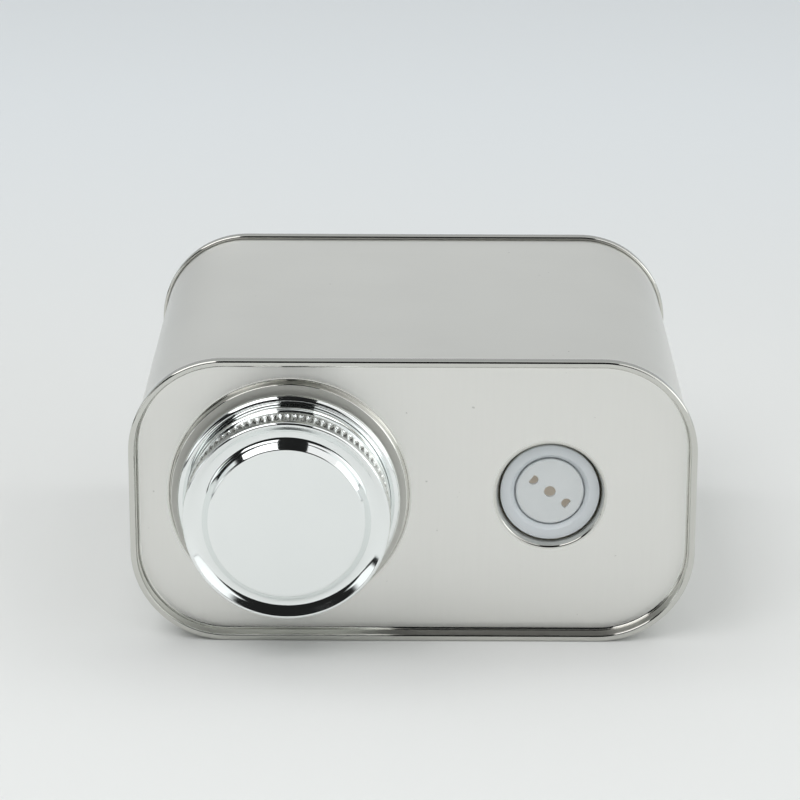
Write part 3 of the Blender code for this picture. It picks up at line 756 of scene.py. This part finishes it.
rolled, entry = rule_tree("rolled_thread_and_knurls", {
    "Thread Low": 'Float', "Thread Pitch": 'Float', "Thread Turns": 'Float',
    "Thread Width": 'Float', "Thread Depth": 'Float', "Thread Start": 'Float',
    "Knurl Count": 'Float', "Knurl Depth": 'Float', "Knurl Low": 'Float', "Knurl High": 'Float',
    "Knurl Edge": 'Float', "Wall Radius": 'Float', "Finish": 'Material'})
where = rolled.node('GeometryNodeInputPosition')
px, py, ph = rolled.parts(where)
radius = rolled.math('SQRT', px * px + py * py)
around = rolled.math('ARCTAN2', py, px) / (2 * math.pi)
turn = rolled.math('FRACT', around + entry.also("Thread Start"))
climb = (ph - entry.also("Thread Low")) / entry.also("Thread Pitch") - turn
lap = rolled.math('ROUND', climb)
along = turn + lap
ridge = rolled.smooth(1 - abs(climb - lap) / entry.also("Thread Width"), 0.0, 1.0)
run_in = (rolled.smooth(along, 0.0, THREAD_RUN_IN)
          * rolled.smooth(entry.also("Thread Turns") - along, 0.0, THREAD_RUN_IN))
on_wall = rolled.smooth(radius / entry.also("Wall Radius"), *THREADED_WALL)
thread = ridge * run_in * entry.also("Thread Depth")
across = abs(rolled.math('FRACT', around * entry.also("Knurl Count")) * 2 - 1)
notch = 1 - rolled.smooth(across, NOTCH_FLOOR, NOTCH_MOUTH)
band = (rolled.smooth((ph - entry.also("Knurl Low")) / entry.also("Knurl Edge"), 0.0, 1.0)
        * rolled.smooth((entry.also("Knurl High") - ph) / entry.also("Knurl Edge"), 0.0, 1.0))
shift = (0 - thread - notch * band * entry.also("Knurl Depth")) * on_wall
push = rolled.node('ShaderNodeCombineXYZ', {}, {"X": px / radius * shift, "Y": py / radius * shift})
pressed = rolled.node('GeometryNodeSetPosition', {}, {"Geometry": entry, "Offset": push})
end_tree(rolled, pressed, entry.also("Finish"))

bright_finish = Finish("tinplate_bright", metallic=1.0)
ripple = bright_finish.relief(bright_finish.grain(160.0), depth=0.012 * MM)
lines = bright_finish.grain((2600.0, 90.0, 2600.0), detail=3.0, roughness=0.6)
haze = bright_finish.grain(60.0, detail=3.0)
bright_finish.vary(base_color=bright_finish.mix(haze, BRIGHT_DARK, BRIGHT_LIGHT),
                   roughness=0.035 + haze * 0.03 + lines * 0.02,
                   normal=bright_finish.relief(lines, depth=0.0015 * MM, under=ripple))
neck_wall = NECK_RADIUS - NECK_SHEET / 2
spigot = NECK_HOLE - NECK_CLEARANCE - NECK_SHEET / 2
fold_low = BOSS_TOP + 2 * NECK_SEAT_GAP + NECK_SEAL + NECK_SHEET / 2
fold_high = fold_low + NECK_SHEET + NECK_FOLD_GAP
fold_bend = (fold_high - fold_low) / 2
hem = BOSS_TOP - PLATE - NECK_SEAT_GAP - NECK_SHEET / 2
curl_centre = NECK_RISE - NECK_SHEET / 2 - NECK_CURL
neck_line = curl_corners((neck_wall - NECK_CURL, curl_centre), NECK_CURL, NECK_CURL_TURN, 0,
                         NECK_CURL_STEPS)
neck_line += [
    (neck_wall, fold_high, NECK_FOOT_BEND),
    (neck_wall + NECK_FOLD_REACH, fold_high, fold_bend),
    (neck_wall + NECK_FOLD_REACH, fold_low, fold_bend),
    (spigot, fold_low, NECK_FOOT_BEND),
    (spigot, hem, NECK_FOOT_BEND),
    (spigot + NECK_HEM_REACH, hem, 0),
]
outline = rows_between(sheet_outline(neck_line, NECK_SHEET, steps=4), 0.0, NECK_WALL_TOP, NECK_ROW)
mesh = shape_mesh("neck_drawn", turned_mesh("neck_drawn", outline, NECK_FACETS), rolled, {
    "Thread Low": NECK_THREAD_LOW, "Thread Pitch": THREAD_PITCH, "Thread Turns": THREAD_TURNS,
    "Thread Width": NECK_THREAD_WIDTH, "Thread Depth": -NECK_THREAD_DEPTH,
    "Wall Radius": neck_wall, "Finish": bright_finish.material})
add_piece("neck_drawn", bmesh_of(mesh), CAP_AXIS, "tin", "bright_tinplate",
          bright_finish.material, "screw_neck")


# Neck seal
# A flat ring of sealing compound between the fold of the neck and the boss, which keeps the
# clamped joint tight. Only its outer edge can be seen.
NECK_SEAL_BEND = 0.04 * MM

seal_low = BOSS_TOP + NECK_SEAT_GAP
seal_inner = NECK_HOLE + NECK_CLEARANCE
seal_outer = NECK_RADIUS + NECK_FOLD_REACH - NECK_SHEET / 2
seal_ring = bent_line([
    (seal_inner, seal_low, 0),
    (seal_outer, seal_low, NECK_SEAL_BEND),
    (seal_outer, seal_low + NECK_SEAL, NECK_SEAL_BEND),
    (seal_inner, seal_low + NECK_SEAL, 0)], steps=3)
bm = bmesh_of(turned_mesh("neck_seal_ring", seal_ring, ROUND_FACETS))
add_piece("neck_seal_ring", bm, CAP_AXIS, "tin", "compound", compound_finish.material, "neck_seal")


# Cap
# The cap is pressed from bright tinplate: a flat plateau in a smooth valley, a band of knurls for
# the fingers, a thread rolled into the skirt and a hem curled outwards.
CAP_SHEET = 0.25 * MM
THREAD_SPACE = 1.1 * MM
SHOULDER_REACH = 2.1 * MM
VALLEY_WIDTH = 1.55 * MM
PLATEAU_SLOPE = 1.45 * MM
VALLEY_OUTER_BEND = 3.0 * MM
VALLEY_INNER_BEND = 1.3 * MM
SHOULDER_BEND = 0.35 * MM
PLATEAU_BEND = 0.4 * MM
VALLEY_TOP = 12.25 * MM
CREST_TOP = 13.6 * MM
CAP_TOP = 14.2 * MM
CURL_RADIUS = 0.95 * MM
CURL_CLEARANCE = 1.1 * MM
CURL_TURN = 316
CURL_STEPS = 28
KNURL_COUNT = 86
CAP_FACETS = 5 * KNURL_COUNT
KNURL_BAND = (7.75 * MM, 11.6 * MM)
KNURL_EDGE = 0.2 * MM
KNURL_DEPTH = 0.30 * MM
KNURL_PROUD = 0.08 * MM
CAP_ROW = 0.24 * MM
CAP_THREAD_LOW = 2.9 * MM
CAP_THREAD_DEPTH = 0.45 * MM
CAP_THREAD_WIDTH = 0.30
CAP_THREAD_START = 0.12

skirt = NECK_RADIUS + THREAD_SPACE + CAP_SHEET / 2
curl_h = BOSS_TOP + CURL_CLEARANCE + CAP_SHEET / 2 + CURL_RADIUS
half_sheet = CAP_SHEET / 2
cap_line = [
    (0.0, CAP_TOP - half_sheet, 0),
    (skirt - SHOULDER_REACH - VALLEY_WIDTH - PLATEAU_SLOPE, CAP_TOP - half_sheet, PLATEAU_BEND),
    (skirt - SHOULDER_REACH - VALLEY_WIDTH, VALLEY_TOP - half_sheet, VALLEY_INNER_BEND),
    (skirt - SHOULDER_REACH, VALLEY_TOP - half_sheet, VALLEY_OUTER_BEND),
    (skirt, CREST_TOP - half_sheet, SHOULDER_BEND),
    (skirt, KNURL_BAND[1] + KNURL_EDGE, 0),
    (skirt + KNURL_PROUD, KNURL_BAND[1] - KNURL_EDGE, 0),
    (skirt + KNURL_PROUD, KNURL_BAND[0] + KNURL_EDGE, 0),
    (skirt, KNURL_BAND[0] - KNURL_EDGE, 0),
]
cap_line += curl_corners((skirt + CURL_RADIUS, curl_h), CURL_RADIUS, 180, 180 + CURL_TURN,
                         CURL_STEPS)
outline = rows_between(sheet_outline(cap_line, CAP_SHEET, steps=8), curl_h + CURL_RADIUS,
                       KNURL_BAND[1] + 2 * KNURL_EDGE, CAP_ROW)
mesh = shape_mesh("cap_pressed", turned_mesh("cap_pressed", outline, CAP_FACETS), rolled, {
    "Thread Low": CAP_THREAD_LOW, "Thread Pitch": THREAD_PITCH, "Thread Turns": THREAD_TURNS,
    "Thread Width": CAP_THREAD_WIDTH, "Thread Depth": CAP_THREAD_DEPTH,
    "Thread Start": CAP_THREAD_START,
    "Knurl Count": float(KNURL_COUNT), "Knurl Depth": KNURL_DEPTH,
    "Knurl Low": KNURL_BAND[0], "Knurl High": KNURL_BAND[1], "Knurl Edge": KNURL_EDGE,
    "Wall Radius": skirt, "Finish": bright_finish.material})
add_piece("cap_pressed", bmesh_of(mesh), CAP_AXIS, "cap", "bright_tinplate",
          bright_finish.material, "cap_shell")


# Cap liner
# A disc of expanded polyethylene, punched from sheet and pressed into the cap, which seals on the
# curl of the neck. Its underside keeps the ring that the neck has pressed into it.
LINER_GAP = 0.1 * MM
LINER_THICKNESS = 1.4 * MM
LINER_LOW = NECK_RISE + LINER_GAP
LINER_HIGH = LINER_LOW + LINER_THICKNESS
LINER_FIT = 0.35 * MM
LINER_RADIUS = NECK_RADIUS + THREAD_SPACE - LINER_FIT
LINER_EDGE = 0.2 * MM
LINER_PRINT = 0.08 * MM
FOAM_DARK = (0.80, 0.80, 0.775, 1.0)
FOAM_LIGHT = (0.88, 0.88, 0.865, 1.0)

foam = Finish("liner_foam", metallic=0.0)
cells = foam.node('ShaderNodeTexVoronoi', {"feature": 'F1'},
                  {"Vector": foam.place, "Scale": 2600.0})
cloud = foam.grain(120.0, detail=3.0)
foam.vary(base_color=foam.mix(cloud, FOAM_DARK, FOAM_LIGHT),
          roughness=0.70 + cells * 0.2,
          normal=foam.relief(cells, depth=0.05 * MM, strength=0.8))
print_line = neck_wall - NECK_CURL
liner_outline = bent_line([
    (0.0, LINER_HIGH, 0),
    (LINER_RADIUS, LINER_HIGH, LINER_EDGE),
    (LINER_RADIUS, LINER_LOW, LINER_EDGE),
    (print_line + 3 * LINER_EDGE, LINER_LOW, LINER_EDGE),
    (print_line + LINER_EDGE, LINER_LOW + LINER_PRINT, LINER_EDGE),
    (print_line - LINER_EDGE, LINER_LOW + LINER_PRINT, LINER_EDGE),
    (print_line - 3 * LINER_EDGE, LINER_LOW, LINER_EDGE),
    (0.0, LINER_LOW, 0)], steps=4)
bm = bmesh_of(turned_mesh("liner_disc", liner_outline, ROUND_FACETS))
add_piece("liner_disc", bm, CAP_AXIS, "liner", "liner_foam", foam.material, "cap_liner")


# Valve body
# The one-way valve is moulded in natural polyethylene. Its flange rests in the pocket, and its
# cup is pushed through the hole until the snap barb holds it under the plate.
FLANGE_RADIUS = 10.15 * MM
FLANGE_THICKNESS = 0.7 * MM
FLANGE_EDGE = 0.22 * MM
FLANGE_CONE = (0.8 * MM, 1.0 * MM)
CUP_DEPTH = 5.6 * MM
CUP_FLOOR = 0.6 * MM
GROOVE_WIDTH = 0.32 * MM
GROOVE_DEPTH = 1.7 * MM
BARB_REACH = 0.6 * MM
BARB_LENGTH = 1.2 * MM
SEAL_THICKNESS = 0.4 * MM
SEAT_GAP = 0.05 * MM
VENT_CAP_RADIUS = 6.95 * MM
VENT_CAP_STEP = 0.6 * MM
VENT_CAP_FIT = 0.06 * MM
VALVE_SEAT_RADIUS = 4.4 * MM
VALVE_SEAT_WIDTH = 0.5 * MM
VALVE_SEAT_HEIGHT = 0.35 * MM
INLET_COUNT = 4
INLET_RADIUS = 0.8 * MM
INLET_CIRCLE = 2.4 * MM
FILTER_THICKNESS = 0.4 * MM
FILTER_RIM = 0.8 * MM
FILTER_GAP = 0.1 * MM
EASE = 0.08 * MM
OVERCUT = 0.2 * MM
VALVE_FACETS = 96
FLANGE_DARK = (0.60, 0.635, 0.66, 1.0)
FLANGE_LIGHT = (0.65, 0.685, 0.705, 1.0)
VALVE_AXIS = facing_out(*VALVE_CENTRE)

floor_top = PANEL_TOP - POCKET_DEPTH
flange_low = floor_top + 2 * SEAT_GAP + SEAL_THICKNESS
flange_top = flange_low + FLANGE_THICKNESS
cup_low = flange_top - CUP_DEPTH
inner_floor = cup_low + FILTER_THICKNESS + FILTER_GAP + CUP_FLOOR
seat_top = inner_floor + VALVE_SEAT_HEIGHT


def moulded_plastic(name, dark, light, rough):
    """Natural polyethylene: milky and semi-matt, with a fine moulded grain and soft flow clouds."""
    plastic = Finish(name, metallic=0.0)
    cloud = plastic.grain(220.0, detail=3.0, roughness=0.6)
    pores = plastic.grain(2800.0)
    plastic.vary(base_color=plastic.mix(cloud, dark, light),
                 roughness=rough + pores * 0.12,
                 normal=plastic.relief(pores, depth=0.006 * MM,
                                       under=plastic.relief(cloud, depth=0.03 * MM)))
    return plastic.material


def cut_holes(mesh, cutters):
    """Take closed cutters away from a mesh."""
    piece = add_object(mesh.name, mesh)
    cutter_mesh = bpy.data.meshes.new(mesh.name + "_cutter")
    cutters.to_mesh(cutter_mesh)
    cutters.free()
    cutter = add_object(cutter_mesh.name, cutter_mesh)
    boolean = piece.modifiers.new("Holes", 'BOOLEAN')
    boolean.operation = 'DIFFERENCE'
    boolean.solver = 'EXACT'
    boolean.object = cutter
    cut = finished_mesh(piece)
    bpy.data.objects.remove(cutter)
    return cut


def rod(bm, radius, low, high, reach, angle, sides=32):
    """A closed rod beside the axis, at a reach from it in the direction of an angle."""
    place = Matrix.Rotation(angle, 4, 'Z') @ Matrix.Translation((reach, 0.0, (low + high) / 2))
    made = bmesh.ops.create_cone(bm, cap_ends=True, segments=sides, radius1=radius, radius2=radius,
                                 depth=high - low, matrix=place)
    return made["verts"]


flange_plastic = moulded_plastic("valve_plastic_flange", FLANGE_DARK, FLANGE_LIGHT, rough=0.30)
bore = VENT_CAP_RADIUS - VENT_CAP_STEP + VENT_CAP_FIT
recess = VENT_CAP_RADIUS + GROOVE_WIDTH
barb_top = floor_top - PLATE - SEAT_GAP
ceiling = cup_low + FILTER_THICKNESS + FILTER_GAP
valve_outline = bent_line([
    (0.0, inner_floor, 0),
    (VALVE_SEAT_RADIUS - VALVE_SEAT_WIDTH, inner_floor, EASE),
    (VALVE_SEAT_RADIUS - VALVE_SEAT_WIDTH, seat_top, EASE),
    (VALVE_SEAT_RADIUS, seat_top, EASE),
    (VALVE_SEAT_RADIUS, inner_floor, EASE),
    (bore, inner_floor, EASE),
    (bore, flange_top - GROOVE_DEPTH, EASE),
    (recess, flange_top - GROOVE_DEPTH, EASE),
    (recess, flange_top - FLANGE_CONE[1], EASE),
    (recess + FLANGE_CONE[0], flange_top, FLANGE_EDGE),
    (FLANGE_RADIUS, flange_top, FLANGE_EDGE),
    (FLANGE_RADIUS, flange_low, FLANGE_EDGE),
    (CUP_RADIUS, flange_low, EASE),
    (CUP_RADIUS, barb_top, 0),
    (CUP_RADIUS + BARB_REACH, barb_top, EASE),
    (CUP_RADIUS, barb_top - BARB_LENGTH, 0),
    (CUP_RADIUS, cup_low, EASE),
    (CUP_RADIUS - FILTER_RIM, cup_low, EASE),
    (CUP_RADIUS - FILTER_RIM, ceiling, EASE),
    (0.0, ceiling, 0)], steps=4)
cutters = bmesh.new()
for k in range(INLET_COUNT):
    rod(cutters, INLET_RADIUS, ceiling - OVERCUT, inner_floor + OVERCUT, INLET_CIRCLE,
        2 * math.pi * (k + 0.5) / INLET_COUNT)
bm = bmesh_of(cut_holes(turned_mesh("valve_moulding", valve_outline, VALVE_FACETS), cutters))
add_piece("valve_moulding", bm, VALVE_AXIS, "tin", "valve_plastic", flange_plastic, "valve_body")


# Vent cap
# The vent cap is a second moulding, pushed into the cup. Gas leaves through one round vent in its
# middle and two D-shaped vents beside it.
VENT_CAP_SINK = 0.5 * MM
VENT_CAP_ROUNDING = 0.5 * MM
VENT_CAP_EDGE = 1.5 * MM
VENT_CAP_FACE = 0.9 * MM
VENT_CAP_WALL = 0.7 * MM
VENT_CAP_LENGTH = 2.6 * MM
STOP_RADIUS = 2.4 * MM
STOP_WALL = 0.6 * MM
MEMBRANE_THICKNESS = 0.5 * MM
MEMBRANE_LIFT = 0.4 * MM
CENTRE_VENT_RADIUS = 1.2 * MM
CENTRE_VENT_SIDES = 48
SIDE_VENT_RADIUS = 1.05 * MM
SIDE_VENT_CIRCLE = 4.25 * MM
SIDE_VENT_FLAT = 0.50 * MM
SIDE_VENT_ANGLE = 143.5
VENT_CAP_DARK = (0.62, 0.65, 0.655, 1.0)
VENT_CAP_LIGHT = (0.67, 0.695, 0.70, 1.0)

vent_plastic = moulded_plastic("valve_plastic_vent_cap", VENT_CAP_DARK, VENT_CAP_LIGHT, rough=0.34)
vent_skirt = VENT_CAP_RADIUS - VENT_CAP_STEP
under = flange_top - VENT_CAP_SINK - VENT_CAP_FACE
stop = seat_top + SEAT_GAP + MEMBRANE_THICKNESS + MEMBRANE_LIFT
skirt_low = max(flange_top - VENT_CAP_LENGTH, stop)
vent_outline = bent_line([
    (0.0, flange_top - VENT_CAP_SINK, 0),
    (VENT_CAP_RADIUS, flange_top - VENT_CAP_SINK, VENT_CAP_ROUNDING),
    (VENT_CAP_RADIUS, flange_top - VENT_CAP_EDGE, EASE),
    (vent_skirt, flange_top - VENT_CAP_EDGE, EASE),
    (vent_skirt, skirt_low, EASE),
    (vent_skirt - VENT_CAP_WALL, skirt_low, EASE),
    (vent_skirt - VENT_CAP_WALL, under, EASE),
    (STOP_RADIUS, under, EASE),
    (STOP_RADIUS, stop, EASE),
    (STOP_RADIUS - STOP_WALL, stop, EASE),
    (STOP_RADIUS - STOP_WALL, under, EASE),
    (0.0, under, 0)], steps=8)
cutters = bmesh.new()
vent_low, vent_high = under - OVERCUT, flange_top + OVERCUT
rod(cutters, CENTRE_VENT_RADIUS, vent_low, vent_high, 0.0, 0.0, CENTRE_VENT_SIDES)
for angle in (math.radians(SIDE_VENT_ANGLE), math.radians(SIDE_VENT_ANGLE + 180)):
    out = Vector((math.cos(angle), math.sin(angle), 0.0))
    verts = rod(cutters, SIDE_VENT_RADIUS, vent_low, vent_high, SIDE_VENT_CIRCLE, angle)
    faces = {face for vert in verts for face in vert.link_faces}
    edges = {edge for vert in verts for edge in vert.link_edges}
    split = bmesh.ops.bisect_plane(cutters, geom=verts + list(edges) + list(faces),
                                   plane_co=out * (SIDE_VENT_CIRCLE + SIDE_VENT_FLAT), plane_no=out,
                                   clear_outer=True)
    rim_edges = [item for item in split["geom_cut"] if isinstance(item, bmesh.types.BMEdge)]
    bmesh.ops.contextual_create(cutters, geom=rim_edges)
bm = bmesh_of(cut_holes(turned_mesh("vent_cap_moulding", vent_outline, VALVE_FACETS), cutters))
add_piece("vent_cap_moulding", bm, VALVE_AXIS, "tin", "valve_plastic", vent_plastic, "valve_cap")


# Membrane, filter and seal ring
# A loose disc of soft rubber closes the inlets and lifts to let gas out. A paper disc under the
# cup keeps the grounds back, and a rubber ring seals the flange on the pocket floor.
MEMBRANE_RADIUS = 5.7 * MM
MEMBRANE_DARK = (0.50, 0.45, 0.38, 1.0)
MEMBRANE_LIGHT = (0.60, 0.54, 0.46, 1.0)
MEMBRANE_GLOW = 0.40
SEAL_DARK = (0.26, 0.235, 0.17, 1.0)
SEAL_LIGHT = (0.33, 0.30, 0.22, 1.0)
PAPER_DARK = (0.70, 0.67, 0.60, 1.0)
PAPER_LIGHT = (0.86, 0.84, 0.79, 1.0)


def soft_rubber(name, dark, light, glow=0.0):
    """Moulded rubber; the glow is the light that comes through the milky plastic over it."""
    rubber = Finish(name, metallic=0.0, emission_strength=glow)
    cloud = rubber.grain(400.0, detail=3.0)
    shade = rubber.mix(cloud, dark, light)
    rubber.vary(base_color=shade,
                emission_color=shade,
                roughness=0.5 + cloud * 0.2,
                normal=rubber.relief(cloud, depth=0.02 * MM))
    return rubber.material


membrane_rubber = soft_rubber("membrane_rubber", MEMBRANE_DARK, MEMBRANE_LIGHT, MEMBRANE_GLOW)
seal_rubber = soft_rubber("seal_ring_rubber", SEAL_DARK, SEAL_LIGHT)
paper = Finish("filter_paper", metallic=0.0)
fibres = paper.grain((1800.0, 300.0, 1800.0), detail=5.0, roughness=0.7, distortion=1.5)
paper.vary(base_color=paper.mix(fibres, PAPER_DARK, PAPER_LIGHT),
           roughness=0.85 + fibres * 0.1,
           normal=paper.relief(fibres, depth=0.04 * MM))


def disc_outline(low, thickness, radius, inner=0.0):
    """Half section of a disc, or of a ring with an inner radius, with its outer edges eased."""
    high = low + thickness
    return bent_line([(inner, high, 0), (radius, high, EASE), (radius, low, EASE),
                      (inner, low, 0)], steps=4)


for name, node, body, slot, material, outline in (
        ("membrane_disc", "valve_membrane", "membrane", "rubber", membrane_rubber,
         disc_outline(seat_top + SEAT_GAP, MEMBRANE_THICKNESS, MEMBRANE_RADIUS)),
        ("filter_disc", "valve_filter", "tin", "filter_paper", paper.material,
         disc_outline(cup_low, FILTER_THICKNESS, CUP_RADIUS - FILTER_RIM - FILTER_GAP)),
        ("flange_seal", "valve_seal_ring", "tin", "rubber", seal_rubber,
         disc_outline(floor_top + SEAT_GAP, SEAL_THICKNESS, FLANGE_RADIUS, VALVE_HOLE))):
    bm = bmesh_of(turned_mesh(name, outline, VALVE_FACETS))
    add_piece(name, bm, VALVE_AXIS, body, slot, material, node)
